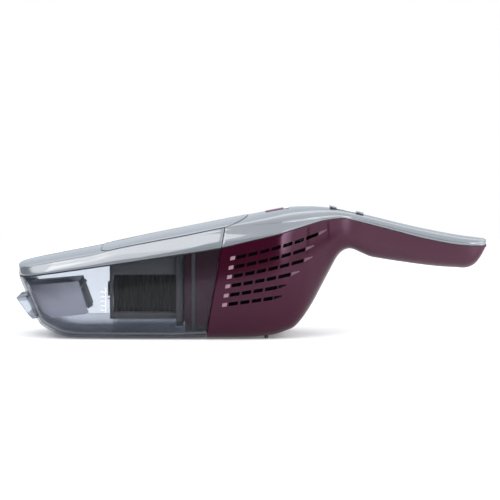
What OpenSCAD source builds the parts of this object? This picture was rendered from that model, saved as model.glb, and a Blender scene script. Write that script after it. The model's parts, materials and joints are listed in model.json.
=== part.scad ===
// Cordless handheld vacuum cleaner with a clear dust cup and a pull-out crevice nozzle.
// X runs from the nozzle to the end of the handle, Y across, Z up.
// The origin is on the floor, under the middle of the length.

/* [Shell] */
// Wall thickness of the housing, the dust cup and the covers
shell_wall = 2.2; // [1.8:0.1:2.4]
// Gap between the dust cup and the housing
cup_gap = 0.4; // [0.3:0.1:0.8]

/* [Vents] */
// Distance between two slots of a row
slot_pitch = 10.2; // [9.6:0.1:11]
// Length of one slot
slot_length = 8.3; // [6:0.1:8.6]
// Height of one slot
slot_height = 3.3; // [2:0.1:3.6]

/* [Nozzle] */
// Width of the crevice nozzle's mouth
nozzle_width = 60; // [54:1:60]
// Height of the crevice nozzle's mouth
nozzle_height = 21; // [19:0.5:21]
// Wall of the crevice nozzle
nozzle_wall = 1.8; // [1.4:0.1:2.2]

/* [Motor and battery] */
// Diameter of the motor can
motor_d = 36; // [32:1:36]
// Diameter of the fan
fan_d = 58; // [50:1:58]
// Diameter of one battery cell
cell_d = 18.4; // [18:0.1:18.4]
// Length of one battery cell
cell_length = 50; // [46:1:50]

/* [Hidden] */
$fn = 48;
smoke = [0.62, 0.65, 0.7, 0.45];
smoke_dark = [0.4, 0.4, 0.44, 0.6];
silver = [0.68, 0.71, 0.76];
burgundy = [0.3, 0.12, 0.2];
black = [0.1, 0.1, 0.11];
grey = [0.33, 0.33, 0.35];
steel = [0.75, 0.76, 0.78];

front_x = -208;
rear_x = 211.4;

// Height of the shell's ridge, of its underside, of the line where the two colours part and
// of the crease above it, and the half width, each as [x, value] along the length.
ridge = [[-208, 64.2], [-204.6, 66], [-172, 72.8], [-132, 80.4], [-82, 91], [-37, 99.9],
         [4, 108.2], [34, 113.8], [55, 114.6], [73, 113.4], [84, 111.6], [102, 107.6],
         [143, 97.6], [166, 92.8], [188, 88.8], [205, 86.6], [209.4, 86], [rear_x, 85]];
underside = [[-208, 58.6], [-206.8, 54], [-200, 39.2], [-188, 13.4], [-182, 8.6], [-175, 4.8],
             [-168, 2], [-158, 0.4], [-148, 0], [-70, 0], [-40, 0.8], [0, 1.1], [13, 2.1], [23, 3.5],
             [31, 6.1], [38, 9], [44, 14.6], [50, 22.4], [56, 31.6], [62, 42.4], [68, 53.4],
             [73, 62.6], [77, 69.6], [81, 74.2], [86, 76.8], [91, 76.8], [99, 73.4], [107, 70],
             [116, 68.2], [134, 65.4], [151, 63], [169, 61], [183, 60.2], [194, 60], [201.6, 63.8],
             [207, 71], [210, 77], [rear_x, 78.6]];
parting = [[-208, 54.2], [-194, 55.6], [-140, 63.4], [-64, 75], [-27, 81], [0, 87.2], [23, 92.4],
           [35, 95.8], [49, 99.8], [63, 103.3], [75, 104.8], [82, 105], [90, 103.4], [103, 100.2],
           [133, 92.4], [152, 87.4], [177, 82.4], [189, 80.8], [208, 79.8], [rear_x, 79.6]];
crease = [[-208, 61], [-141, 73.4], [-115, 80], [-60, 90.2], [-24, 97.4], [13, 101.6], [43, 103.8],
          [65, 105.6], [82, 106.6], [103, 102], [133, 94.2], [177, 84.4], [rear_x, 81.4]];
half_width = [[-208, 8], [-207.2, 17], [-205, 28], [-201, 38.4], [-196, 44.8], [-190, 48],
              [-180, 50.4], [-165, 52], [-140, 54], [-110, 56], [-70, 57.4], [-40, 58], [-10, 58],
              [10, 57], [25, 54.4], [36, 50.6], [48, 44], [60, 34.6], [70, 26.6], [80, 21],
              [90, 18.2], [105, 17.2], [130, 17.2], [160, 18], [190, 18.4], [201, 17],
              [207, 13.6], [rear_x, 7]];
// Shape of the cross-section: how flat the underside is, how square its corners are, and
// how far the side leans in at the crease.
flat_share = [[-208, 0.3], [-185, 0.6], [40, 0.6], [75, 0.4], [100, 0.12], [rear_x, 0.12]];
corner_power = [[-208, 2.4], [-180, 3], [40, 3], [75, 2.8], [100, 2.2], [rear_x, 2.2]];
crease_share = [[-208, 0.9], [-141, 0.9], [-24, 0.85], [43, 0.87], [82, 0.9], [rear_x, 0.88]];

// Curve through [x, value] knots, with the slope at each knot taken from its neighbours.
function knot_before(k, x, i = 0) = i >= len(k) - 2 || x < k[i + 1][0] ? i : knot_before(k, x, i + 1);
function knot_slope(k, i) =
  let (a = max(i - 1, 0), b = min(i + 1, len(k) - 1)) (k[b][1] - k[a][1]) / (k[b][0] - k[a][0]);
function curve(k, x) =
  let (i = knot_before(k, x), h = k[i + 1][0] - k[i][0], t = min(max((x - k[i][0]) / h, 0), 1))
  (2 * t^3 - 3 * t^2 + 1) * k[i][1] + (t^3 - 2 * t^2 + t) * h * knot_slope(k, i)
  + (3 * t^2 - 2 * t^3) * k[i + 1][1] + (t^3 - t^2) * h * knot_slope(k, i + 1);
// Distance along a sloping curve that sets off a wall of the given thickness square to it.
function inset(k, x, wall) =
  let (slope = (curve(k, x + 0.5) - curve(k, x - 0.5))) wall * sqrt(1 + min(slope^2, 9));

// Cross-section of the shell at x, set in by a wall at the sides and below and by another on top.
corner_steps = 7;
crown_steps = 6;
function section(x, wall, top_wall) =
  let (low = max(curve(underside, x), 0) + inset(underside, x, wall),
       high = max(curve(ridge, x) - inset(ridge, x, top_wall), low + 2),
       wide = max(curve(half_width, x) - inset(half_width, x, wall), 3),
       room = min(high - low, 8),
       part_z = min(max(curve(parting, x), low + 0.4 * room), high - 0.3 * room),
       crease_z = min(max(curve(crease, x) - 0.7 * top_wall, part_z + 0.12 * room), high - 0.12 * room),
       middle = low + 0.56 * (part_z - low),
       flat = wide * curve(flat_share, x),
       power = 2 / curve(corner_power, x),
       lean = wide * curve(crease_share, x),
       half = concat(
         [for (i = [0:corner_steps]) let (a = 90 * i / corner_steps)
           [flat + (wide - flat) * sin(a)^power, middle - (middle - low) * cos(a)^power]],
         [[wide * 0.992, (middle + part_z) / 2], [wide * 0.97, part_z]],
         [for (i = [0:crown_steps]) let (a = 90 * i / crown_steps)
           [lean * cos(a), crease_z + (high - crease_z) * sin(a)]]),
       n = len(half))
  concat([for (p = half) [x, p[0], p[1]]], [for (i = [n - 2:-1:0]) [x, -half[i][0], half[i][1]]]);

// Stations along the length, close together where the outline turns quickly.
all_stations = concat([for (i = [0:8]) front_x + 36 * (i / 8)^1.8], [for (x = [-158:14:12]) x],
                      [for (x = [20:4.6:98]) x], [for (x = [106:12:180]) x],
                      [for (i = [7:-1:0]) rear_x - 24 * (i / 7)^1.7]);
function stations(x0, x1) = concat([x0], [for (x = all_stations) if (x > x0 + 0.4 && x < x1 - 0.4) x], [x1]);

// Solid between two stations, with the shell's outline set in by the walls.
module loft(wall, top_wall, x0, x1) {
  xs = stations(x0, x1);
  rings = [for (x = xs) section(x, wall, top_wall)];
  n = len(rings[0]);
  last = (len(xs) - 1) * n;
  polyhedron(
    points = [for (r = rings) for (p = r) p],
    faces = concat(
      [[for (i = [0:n - 1]) i]],
      [for (s = [0:len(xs) - 2]) for (i = [0:n - 1]) for (half = [0, 1])
        let (j = (i + 1) % n, a = s * n, b = a + n)
        half == 0 ? [a + i, b + j, a + j] : [a + i, b + i, b + j]],
      [[for (i = [n - 1:-1:0]) last + i]]));
}

// A lofted solid and all that is cut from it, as one mesh.
module one_mesh() { resize([0, 0, 0]) children(); }
// Side outline of [x, z] points, run across the width.
module side_prism(points, width) {
  rotate([90, 0, 0]) linear_extrude(width, center = true) polygon(points);
}
// Cylinder along X between two stations.
module x_cylinder(x0, x1, r) { translate([x0, 0, 0]) rotate([0, 90, 0]) cylinder(h = x1 - x0, r = r); }
// Cylinder across the width between two Y values.
module y_cylinder(y0, y1, r) { translate([0, y0, 0]) rotate([-90, 0, 0]) cylinder(h = y1 - y0, r = r); }

top_wall = shell_wall + 1;
inner_front_x = front_x + 5;
inner_rear_x = rear_x - 5.4;
module outer_shell() { loft(0, 0, front_x, rear_x); }
module inner_space() { loft(shell_wall, top_wall, inner_front_x, inner_rear_x); }

// The cup leaves the housing at a slanted plane.
split_x = -39.4;
split_slope = 0.171;
reach = 300;
function split_at(z) = split_x + split_slope * z;
module cup_side(gap) {
  side_prism([[-reach, -20], [split_at(-20) - gap, -20], [split_at(140) - gap, 140], [-reach, 140]], reach);
}
module housing_side() {
  side_prism([[reach, -20], [split_at(-20), -20], [split_at(140), 140], [reach, 140]], reach);
}
parting_stations = concat([front_x - 10], [for (x = [-197.3:8:204]) x], [rear_x + 10]);
parting_line = [for (x = parting_stations) [x, curve(parting, x) + 0.02]];
parting_gap = 0.16;
module below_parting() {
  side_prism(concat([[rear_x + 10, -20], [front_x - 10, -20]], parting_line), reach);
}
module above_parting() {
  translate([0, 0, parting_gap])
  side_prism(concat([[rear_x + 10, 140], [front_x - 10, 140]], parting_line), reach);
}

// ---- Raised top panel, whose rear tongue reaches over the housing ----
panel_front = -132;
panel_rear = -3;
panel_thickness = 1.5;
tongue_start = -26;
function panel_half(x) = curve(half_width, x) * curve(crease_share, x) - 1.2;
function panel_corners(grow) =
  let (w0 = panel_half(panel_front), w1 = panel_half(tongue_start), r = 9)
  concat([for (i = [0:5]) let (a = 18 * i)
           [panel_front + r * (1 - cos(a)) - grow, w0 - r + r * sin(a) + grow]],
         [[-80, panel_half(-80) + grow]],
         [for (i = [0:9]) let (a = 10 * i)
           [tongue_start + (panel_rear + grow - tongue_start) * sin(a), (w1 + grow) * cos(a)]]);
module panel_plan(grow) {
  right = panel_corners(grow);
  n = len(right);
  linear_extrude(140)
    polygon(concat(right, [[panel_rear + grow, 0]], [for (i = [n - 1:-1:0]) [right[i][0], -right[i][1]]]));
}

// Everything above a surface that lies a depth under the ridge
module above_depth(depth) {
  difference() {
    translate([-170, -reach / 2, 0]) cube([260, reach, 160]);
    loft(-1, depth, -170, 90);
  }
}

// ---- Dust cup ----
module nozzle_frame() { translate([-196, 0, 26]) rotate([0, -7, 0]) children(); }
shank_top = nozzle_height / 2 - 1.6;
shank_low = -nozzle_height / 2 + 4;
module shank(grow, x0, x1) {
  translate([x0, -nozzle_width / 2 + 1.6 - grow, shank_low - grow])
    cube([x1 - x0, nozzle_width - 3.2 + 2 * grow, shank_top - shank_low + 2 * grow]);
}
module cup_shell() {
  color(smoke) one_mesh() difference() {
    intersection() { loft(0, 0, front_x, 0); below_parting(); cup_side(cup_gap); }
    loft(shell_wall, top_wall, inner_front_x, 10);
    nozzle_frame() shank(0.4, -20, 30);
  }
}
module cup_cover() {
  color(silver) one_mesh() difference() {
    intersection() { loft(0, 0, front_x, 0); above_parting(); cup_side(cup_gap); }
    loft(shell_wall, top_wall, inner_front_x, 10);
    intersection() { panel_plan(0.3); above_depth(panel_thickness + 0.05); }
  }
}
module top_panel() {
  color(silver) one_mesh() {
    difference() {
      intersection() { loft(0, 0, -140, 5); panel_plan(0); }
      loft(-1, panel_thickness, -150, 20);
    }
    intersection() {
      translate([-7, -5, 90]) cube([2.4, 10, 20]);
      difference() { loft(0, 0.5, -140, 5); loft(0, panel_thickness + 1.1, -150, 20); }
    }
  }
}
duct_half = 33;
duct_side = [[-205, 45.5], [-153, 50], [-144.2, 22.2], [-147, 20.6], [-180, 17.2], [-200, 13]];
module inlet_duct() {
  color(smoke_dark) one_mesh() intersection() {
    union() {
      difference() {
        side_prism(duct_side, 2 * duct_half);
        side_prism([[-212, 43], [-150, 48.2], [-140, 23.6], [-146, 22.8], [-180, 19.4], [-212, 14]],
                   2 * duct_half - 3.6);
        translate([-160, -duct_half + 5, 20]) cube([30, 2 * duct_half - 10, 27]);
        translate([hinge_x, 0, hinge_z]) y_cylinder(-reach, reach, 1.06);
      }
      difference() {
        side_prism([[-203, 47.5], [-196, 47.5], [-183, 15], [-190, 15]], 2 * duct_half + 5);
        side_prism([[-212, 43], [-150, 48.2], [-170, 20.4], [-180, 19.4], [-212, 14]], 2 * duct_half - 3.6);
      }
    }
    loft(shell_wall + 0.05, top_wall, inner_front_x, 0);
  }
}

hinge_x = -151.4;
hinge_z = 45.2;
flap_angle = 20;
module flap_frame() { translate([hinge_x, 0, hinge_z]) rotate([0, -flap_angle, 0]) children(); }
module flap_pin() {
  color(steel) translate([hinge_x, 0, hinge_z]) y_cylinder(-duct_half + 0.4, duct_half - 0.4, 1);
}
module flap_valve() {
  color(grey) flap_frame() difference() {
    union() {
      translate([-0.8, -duct_half + 5.6, -21]) cube([1.6, 2 * duct_half - 11.2, 21]);
      y_cylinder(-duct_half + 5.6, duct_half - 5.6, 2);
    }
    y_cylinder(-duct_half, duct_half, 1.1);
  }
}
module level_marks() {
  color([0.9, 0.92, 0.94]) one_mesh() intersection() {
    difference() { loft(-0.25, 0, -140, -115); loft(0, 0, -142, -110); }
    union() {
      for (z = [26:4:42]) translate([-132, -reach / 2, z]) cube([3.4, reach, 0.8]);
      translate([-128, -reach / 2, 24]) cube([0.8, reach, 22]);
    }
  }
}
module cup_rails() {
  color(smoke) for (side = [-1, 1]) {
    translate([-122, side * 36 - 1, 3.2]) cube([56, 2, 13]);
    translate([-122, side * 36 - 3, 13.6]) cube([56, 6, 2.6]);
  }
}

// ---- Crevice nozzle ----
module nozzle_mouth() {
  w = nozzle_width / 2;
  h = nozzle_height / 2;
  bevel = 4;
  intersection() {
    rotate([90, 0, 90]) translate([0, 0, -22])
      linear_extrude(34) polygon([[-w, h], [-w, -h + bevel], [-w + bevel * 1.4, -h],
                                  [w - bevel * 1.4, -h], [w, -h + bevel], [w, h]]);
    side_prism([[-14.6, 16], [3, -16], [6.6, -16], [-4.6, 16]], reach);
  }
}
module crevice_nozzle() {
  color([0.85, 0.88, 0.92, 0.6]) nozzle_frame() difference() {
    union() {
      nozzle_mouth();
      shank(0, -2, 32);
    }
    shank(-nozzle_wall, -30, 40);
  }
}

// ---- Filter cartridge ----
filter_front = -125;
filter_rear = -66;
filter_half = 37;
pleat_low = 23;
pleat_high = 56;
module filter_frame() {
  color(grey) difference() {
    side_prism([[filter_front, 16.8], [filter_rear, 16.8], [filter_rear, 73.5], [filter_front, 64.8]],
               2 * filter_half);
    translate([filter_front + 3, -filter_half - 1, pleat_low])
      cube([filter_rear - filter_front - 3 + 1, 2 * filter_half + 2, pleat_high - pleat_low]);
    translate([filter_front - 1, -filter_half + 4, pleat_low])
      cube([10, 2 * filter_half - 8, pleat_high - pleat_low]);
  }
}
pleats = 13;
module filter_pleats() {
  pitch = (filter_rear - filter_front - 8) / pleats;
  outer = [for (i = [0:pleats - 1]) for (half = [0, 1])
            [filter_front + 6 + (i + half * 0.5) * pitch, filter_half - 1.4 - 5 * half]];
  inner_y = filter_half - 9.4;
  color(black) translate([0, 0, pleat_low]) linear_extrude(pleat_high - pleat_low) difference() {
    polygon(concat([[filter_front + 3.2, 2 - filter_half], [filter_front + 3.2, filter_half - 2]], outer,
                   [[filter_rear, filter_half - 4], [filter_rear, 4 - filter_half]],
                   [for (i = [len(outer) - 1:-1:0]) [outer[i][0], -outer[i][1]]]));
    translate([filter_front + 10, -inner_y]) square([80, 2 * inner_y]);
  }
}
seat_r = 24;
air_z = 42;
module filter_flange() {
  color(grey) difference() {
    translate([filter_rear, 0, 0]) rotate([90, 0, 90]) linear_extrude(6)
      polygon([[-44, 16], [-40, 11], [40, 11], [44, 16], [44, 75], [-44, 75]]);
    translate([filter_rear - 1, -25, pleat_low]) cube([8, 50, pleat_high - pleat_low]);
  }
}
module filter_seal() {
  color(black) difference() {
    translate([filter_rear + 6, -32, 14]) cube([1.6, 64, 55]);
    translate([filter_rear, -28, 18]) cube([20, 56, 47]);
  }
}
module filter_pull_tab() {
  color(grey) {
    translate([filter_front - 3.2, -9, 35]) cube([1.4, 18, 12]);
    for (y = [-8, 6.6]) translate([filter_front - 2, y, 35]) cube([5.2, 1.4, 12]);
  }
}

// ---- Housing ----
foot_x = 13.7;
foot_y = 38;
boss_x = [60, 106, 150, 192];
function boss_z(x) = (curve(underside, x) + curve(parting, x)) / 2 + (x < 80 ? 2 : 0);
function seat_y(x) = curve(half_width, x) - 5.5;
slots = [7, 6, 6, 5, 4, 4];
function row_x(row) = -12.67 - 1.43 * row;
function row_z(row, x) =
  let (d = x - row_x(row)) 71.4 - 8.25 * row + (0.2 - 0.014 * row) * d + 0.0009 * (1 - row / 6) * d^2;
module slot(x, row, length) {
  lean = slot_height * split_slope;
  rise = row_z(row, x + length) - row_z(row, x);
  z = row_z(row, x);
  side_prism([[x, z], [x + length, z + rise], [x + length + lean, z + rise + slot_height],
              [x + lean, z + slot_height]], reach);
}
module vents() {
  for (row = [0:5]) for (i = [0:slots[row] - 1])
    slot(row_x(row) + slot_pitch * i, row, i == slots[row] - 1 && row < 5 ? slot_length * 1.3 : slot_length);
}
module half_space(side) {
  translate([-reach, side > 0 ? 0.05 : -reach - 0.05, -50]) cube([2 * reach, reach, 300]);
}
module bosses() {
  intersection() {
    for (x = boss_x) translate([x, 0, boss_z(x)]) y_cylinder(-70, 70, 3.6);
    loft(1, 1, 0, rear_x - 3);
  }
}
module housing_half(side) {
  color(burgundy) one_mesh() difference() {
    union() {
      difference() {
        intersection() { loft(0, 0, -60, rear_x); below_parting(); housing_side(); half_space(side); }
        loft(shell_wall, top_wall, -70, inner_rear_x);
        vents();
        for (y = [-9, 9]) translate([13.8, y, -5]) cylinder(h = 20, r = 2.2, $fn = 24);
        for (y = [-foot_y, foot_y]) translate([foot_x, y, -5]) cylinder(h = 20, r = 1.8, $fn = 24);
      }
      intersection() { bosses(); half_space(side); }
    }
    for (x = boss_x) translate([x, 0, boss_z(x)]) {
      y_cylinder(-8.5, 70, 1.55, $fn = 24);
      y_cylinder(seat_y(x) - 0.05, 70, 3.2, $fn = 24);
    }
  }
}
// Foam behind the vents of each side, just clear of the wall
module exhaust_foam() {
  color(black) one_mesh() intersection() {
    difference() {
      loft(shell_wall + 0.5, top_wall + 0.5, -15, 55);
      loft(shell_wall + 2.5, top_wall + 2.5, -16, 56);
    }
    for (side = [-1, 1]) translate([-16, side > 0 ? 30 : -reach, 25]) cube([80, reach - 30, 57]);
  }
}
module rubber_feet() {
  color(black) for (y = [-foot_y, foot_y]) translate([foot_x, y, 0]) {
    cylinder(h = 8, r = 1.6);
    translate([0, 0, 6.4]) cylinder(h = 1.4, r = 3);
  }
}
module housing_left() { housing_half(-1); }
module housing_right() { housing_half(1); }
module housing_screws() {
  color(steel) for (x = boss_x) translate([x, 0, boss_z(x)]) {
    y_cylinder(-8, seat_y(x) + 0.5, 1.45);
    difference() {
      y_cylinder(seat_y(x), seat_y(x) + 2.2, 2.9);
      y_cylinder(seat_y(x) + 1.1, seat_y(x) + 3, 1.2, $fn = 6);
    }
  }
}
switch_x = 86;
switch_slope = 13.2;
module switch_frame() {
  translate([switch_x, 0, curve(ridge, switch_x)]) rotate([0, switch_slope, 0]) children();
}
module button_block(grow) {
  translate([13.5 - grow, -9 - grow, 60]) cube([20.5 + 2 * grow, 18 + 2 * grow, 80]);
}
module top_cover() {
  color(silver) one_mesh() difference() {
    intersection() { loft(0, 0, -60, rear_x); above_parting(); housing_side(); }
    loft(shell_wall, top_wall, -70, inner_rear_x);
    intersection() { panel_plan(0.4); above_depth(panel_thickness + 0.5); }
    translate([-19, -7, 80]) cube([14.5, 14, 40]);
    button_block(0.4);
    translate([48.6, -2.4, 90]) cube([6.8, 4.8, 40]);
    switch_frame() translate([-15.2, -8.2, -12]) cube([30.4, 16.4, 30]);
  }
}
module indicator_light() {
  color([0.95, 0.95, 0.95]) intersection() {
    translate([49, -2, 106]) cube([6, 4, 20]);
    side_prism([[40, 106], [60, 106], [60, curve(ridge, 60) - 0.1], [50, curve(ridge, 50) - 0.1],
                [40, curve(ridge, 40) - 0.1]], 30);
  }
}
module switch_bezel() {
  color(black) switch_frame() difference() {
    translate([-15, -8, -4.2]) cube([30, 16, 3.8]);
    translate([-14, -6, -2.6]) cube([28, 12, 6]);
    translate([-8.6, -2.6, -8]) cube([17.2, 5.2, 12]);
  }
}
module power_slider() {
  color(silver) switch_frame() {
    translate([-9.5, -5.6, -2.2]) cube([19, 11.2, 2.6]);
    translate([-15.5, -8, -0.2]) cube([6.2, 16, 0.9]);
    translate([8.5, -8, 0.35]) cube([7, 16, 0.9]);
    for (x = [-6:4:6]) translate([x - 0.8, -4.6, 0.2]) cube([1.6, 9.2, 0.5]);
    translate([-3, -2, -7.2]) cube([6, 4, 5.4]);
  }
}
module switch_base() {
  color(grey) switch_frame() difference() {
    translate([-14, -7, -12.5]) cube([28, 14, 8.2]);
    translate([-8.6, -2.6, -7.8]) cube([17.2, 5.2, 8]);
  }
}
module release_button() {
  color(burgundy) one_mesh() {
    intersection() {
      button_block(0);
      difference() { loft(0, -0.6, 0, 45); loft(-1, 3, -5, 50); }
    }
    translate([20, -4, 96]) cube([8, 8, 13]);
    translate([-15, -5, 96]) cube([43, 10, 2.6]);
    side_prism([[-16, 96], [-10, 96], [-10, 103.2], [-12.5, 103.2], [-16, 101]], 10);
  }
}
module release_spring() {
  turns = 4;
  color(steel) for (i = [0:turns]) translate([24, 0, 88.6 + i * 1.6])
    rotate_extrude() translate([3, 0]) circle(r = 0.45, $fn = 12);
  color(steel) translate([24.2 + 2.35, -0.4, 88.6]) cube([0.8, 0.8, 6.4]);
}
module bulkhead() {
  color(burgundy) one_mesh() difference() {
    intersection() {
      loft(shell_wall + 1.3, top_wall + 1.3, -58, 0);
      side_prism([[-58, -20], [split_at(-20) + 4, -20], [split_at(140) + 4, 140], [-58, 140]], reach);
    }
    loft(shell_wall + 3.5, top_wall + 3.5, -55, 10);
    translate([-70, 0, air_z]) rotate([0, 90, 0]) cylinder(h = 30, r = seat_r);
  }
}
module inlet_grille() {
  color(black) translate([-54.9, 0, air_z]) rotate([0, 90, 0]) difference() {
    cylinder(h = 2, r = 28);
    for (a = [0:60:300]) rotate(a) translate([13, 0, -1]) cylinder(h = 4, r = 5);
    translate([0, 0, -1]) cylinder(h = 4, r = 5);
  }
}
module cup_seal() {
  color(black) one_mesh() difference() {
    loft(shell_wall + 0.15, top_wall + 0.15, -52, -49);
    loft(shell_wall + 1.28, top_wall + 1.28, -53, -48);
  }
}

// ---- Motor, fan and battery ----
motor_z = 57;
motor_r = motor_d / 2;
fan_x = -26;
module motor_can() {
  color(steel) translate([0, 0, motor_z]) difference() {
    union() {
      x_cylinder(-8, 40, motor_r);
      x_cylinder(-11, -8, 8);
    }
    x_cylinder(-7, 41, motor_r - 1.4);
    x_cylinder(-12, 0, 5);
  }
}
module motor_end_cap() {
  color(black) translate([0, 0, motor_z]) difference() {
    union() {
      x_cylinder(40, 46, motor_r);
      x_cylinder(46, 50, 7);
    }
    x_cylinder(39, 44, motor_r - 4);
    x_cylinder(39, 48, 2.4);
  }
}
module motor_mount() {
  color(grey) difference() {
    translate([30, -motor_r - 5, motor_z - motor_r - 5]) cube([5, motor_d + 10, motor_d + 10]);
    translate([0, 0, motor_z]) x_cylinder(20, 50, motor_r + 0.02);
  }
}
module fan_housing() {
  color(grey) translate([0, 0, motor_z]) difference() {
    x_cylinder(fan_x - 4, -8, fan_d / 2 + 3);
    x_cylinder(fan_x - 2, -12, fan_d / 2 + 1);
    x_cylinder(fan_x - 10, -12, 16);
    x_cylinder(-20, 0, 8.4);
    for (a = [0:45:315]) rotate([a, 0, 0]) translate([-14, 0, 23.5]) x_cylinder(0, 20, 3);
  }
}
module fan_impeller() {
  color(silver) translate([0, 0, motor_z]) difference() {
    union() {
      x_cylinder(-16, -14.4, fan_d / 2 - 1);
      x_cylinder(fan_x, -14.4, 6);
      for (a = [0:40:320]) rotate([a, 0, 0]) translate([fan_x + 1, 8, 4]) rotate([-28, 0, 0])
        cube([10.4, fan_d / 2 - 12, 1.2]);
    }
    x_cylinder(fan_x - 1, -10, 2);
  }
}
module fan_nut() {
  color(steel) translate([fan_x - 3, 0, motor_z]) rotate([0, 90, 0]) difference() {
    cylinder(h = 3, r = 3.6, $fn = 6);
    translate([0, 0, -1]) cylinder(h = 5, r = 2);
  }
}
module motor_shaft() { color(steel) translate([0, 0, motor_z]) x_cylinder(fan_x - 2.5, 47, 1.95); }
module armature() {
  color([0.7, 0.4, 0.25]) translate([0, 0, motor_z]) difference() {
    union() {
      x_cylinder(2, 30, motor_r - 5);
      x_cylinder(31, 38, 6);
      x_cylinder(30, 31, 4);
    }
    x_cylinder(0, 40, 1.97);
    for (a = [0:40:320]) rotate([a, 0, 0]) translate([1, -1, motor_r - 9]) cube([30, 2, 8]);
  }
}
cell_x = -31;
cell_y = 11;
cell_z = 16;
module battery_cells() {
  color([0.15, 0.3, 0.55]) for (y = [-cell_y, cell_y]) translate([0, y, cell_z]) {
    x_cylinder(cell_x, cell_x + cell_length, cell_d / 2);
    x_cylinder(cell_x + cell_length, cell_x + cell_length + 1, 3);
  }
}
module battery_tray() {
  color(black) difference() {
    translate([-29, -22, 6]) cube([39, 44, 7]);
    for (y = [-cell_y, cell_y]) translate([0, y, cell_z]) x_cylinder(-60, 60, cell_d / 2 + 0.1);
  }
}
module battery_tabs() {
  color(steel) {
    translate([cell_x + cell_length + 1, -cell_y - 4, cell_z - 2.5]) cube([0.4, 2 * cell_y + 8, 5]);
    translate([cell_x - 0.4, -cell_y - 4, cell_z - 2.5]) cube([0.4, 2 * cell_y + 8, 5]);
  }
}
module charge_board() { color([0.1, 0.4, 0.25]) translate([2, -15, 84]) cube([44, 30, 1.6]); }
module board_parts() {
  color(black) {
    translate([6, -11, 85.6]) cube([8, 8, 1.6]);
    translate([34, 2, 85.6]) cube([9, 9, 1.4]);
    for (x = [8, 13]) translate([x, 9, 85.6]) cylinder(h = 6, r = 2);
  }
}
module charge_pins() {
  color([0.85, 0.7, 0.35]) for (y = [-9, 9]) translate([13.8, y, 0]) {
    cylinder(h = 6.6, r = 1.2);
    translate([0, 0, 3]) cylinder(h = 2, r = 2);
  }
}
module contact_block() {
  color(black) difference() {
    translate([10.5, -13, 5.1]) cube([6.6, 26, 1.7]);
    for (y = [-9, 9]) translate([13.8, y, 0]) cylinder(h = 10, r = 1.25);
  }
}
module motor_leads() {
  color([0.7, 0.1, 0.1]) for (side = [-1, 1]) translate([52, side * 5, 0]) {
    translate([0, 0, 58]) cylinder(h = 25, r = 0.9);
    translate([-7, 0, 83]) rotate([0, 90, 0]) cylinder(h = 7.9, r = 0.9);
    translate([-1.9, 0, 58.9]) rotate([0, 90, 0]) cylinder(h = 2.6, r = 0.9);
  }
}

rubber_feet();
exhaust_foam();
housing_left();
housing_right();
top_cover();
bulkhead();
inlet_grille();
cup_seal();
motor_can();
motor_end_cap();
motor_mount();
fan_housing();
battery_cells();
battery_tray();
battery_tabs();
charge_board();
board_parts();
charge_pins();
contact_block();
motor_leads();
indicator_light();
switch_base();
switch_bezel();
housing_screws();
release_spring();
motor_shaft();
armature();
fan_impeller();
fan_nut();
release_button();
power_slider();
cup_shell();
cup_cover();
top_panel();
inlet_duct();
flap_pin();
level_marks();
cup_rails();
crevice_nozzle();
flap_valve();
filter_frame();
filter_pleats();
filter_flange();
filter_seal();
filter_pull_tab();
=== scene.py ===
import json
import math

import bmesh
import bpy
import numpy as np
from mathutils import Matrix, Vector


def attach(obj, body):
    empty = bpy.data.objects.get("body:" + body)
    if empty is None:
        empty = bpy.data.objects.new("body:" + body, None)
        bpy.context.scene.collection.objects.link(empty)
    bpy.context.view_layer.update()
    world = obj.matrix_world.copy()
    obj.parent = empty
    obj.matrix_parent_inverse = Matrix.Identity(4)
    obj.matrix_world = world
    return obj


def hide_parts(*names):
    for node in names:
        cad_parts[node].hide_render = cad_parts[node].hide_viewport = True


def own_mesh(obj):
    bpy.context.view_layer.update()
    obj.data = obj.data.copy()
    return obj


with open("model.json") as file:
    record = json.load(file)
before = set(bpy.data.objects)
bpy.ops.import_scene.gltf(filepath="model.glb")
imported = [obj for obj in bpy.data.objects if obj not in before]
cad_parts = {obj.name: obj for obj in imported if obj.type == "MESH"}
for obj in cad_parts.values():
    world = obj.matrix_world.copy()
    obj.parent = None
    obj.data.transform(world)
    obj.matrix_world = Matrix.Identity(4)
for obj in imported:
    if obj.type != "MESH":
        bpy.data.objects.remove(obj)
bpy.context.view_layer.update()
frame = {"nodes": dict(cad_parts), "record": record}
slot_of = {s["node"]: s["material_slot"] for s in frame["record"]["subparts"]}
MM = 0.001

# ---------------------------------------------------------------- the shell's outline
# The same knots as the CAD source, in millimetres: [x, value] along the length.
FRONT_X, REAR_X = -208.0, 211.4
RIDGE = [[-208, 64.2], [-204.6, 66], [-172, 72.8], [-132, 80.4], [-82, 91], [-37, 99.9],
         [4, 108.2], [34, 113.8], [55, 114.6], [73, 113.4], [84, 111.6], [102, 107.6],
         [143, 97.6], [166, 92.8], [188, 88.8], [205, 86.6], [209.4, 86], [REAR_X, 85]]
UNDERSIDE = [[-208, 58.6], [-206.8, 54], [-200, 39.2], [-188, 13.4], [-182, 8.6], [-175, 4.8],
             [-168, 2], [-158, 0.4], [-148, 0], [-70, 0], [-40, 0.8], [0, 1.1], [13, 2.1],
             [23, 3.5], [31, 6.1], [38, 9], [44, 14.6], [50, 22.4], [56, 31.6], [62, 42.4],
             [68, 53.4], [73, 62.6], [77, 69.6], [81, 74.2], [86, 76.8], [91, 76.8], [99, 73.4],
             [107, 70], [116, 68.2], [134, 65.4], [151, 63], [169, 61], [183, 60.2], [194, 60],
             [201.6, 63.8], [207, 71], [210, 77], [REAR_X, 78.6]]
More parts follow.
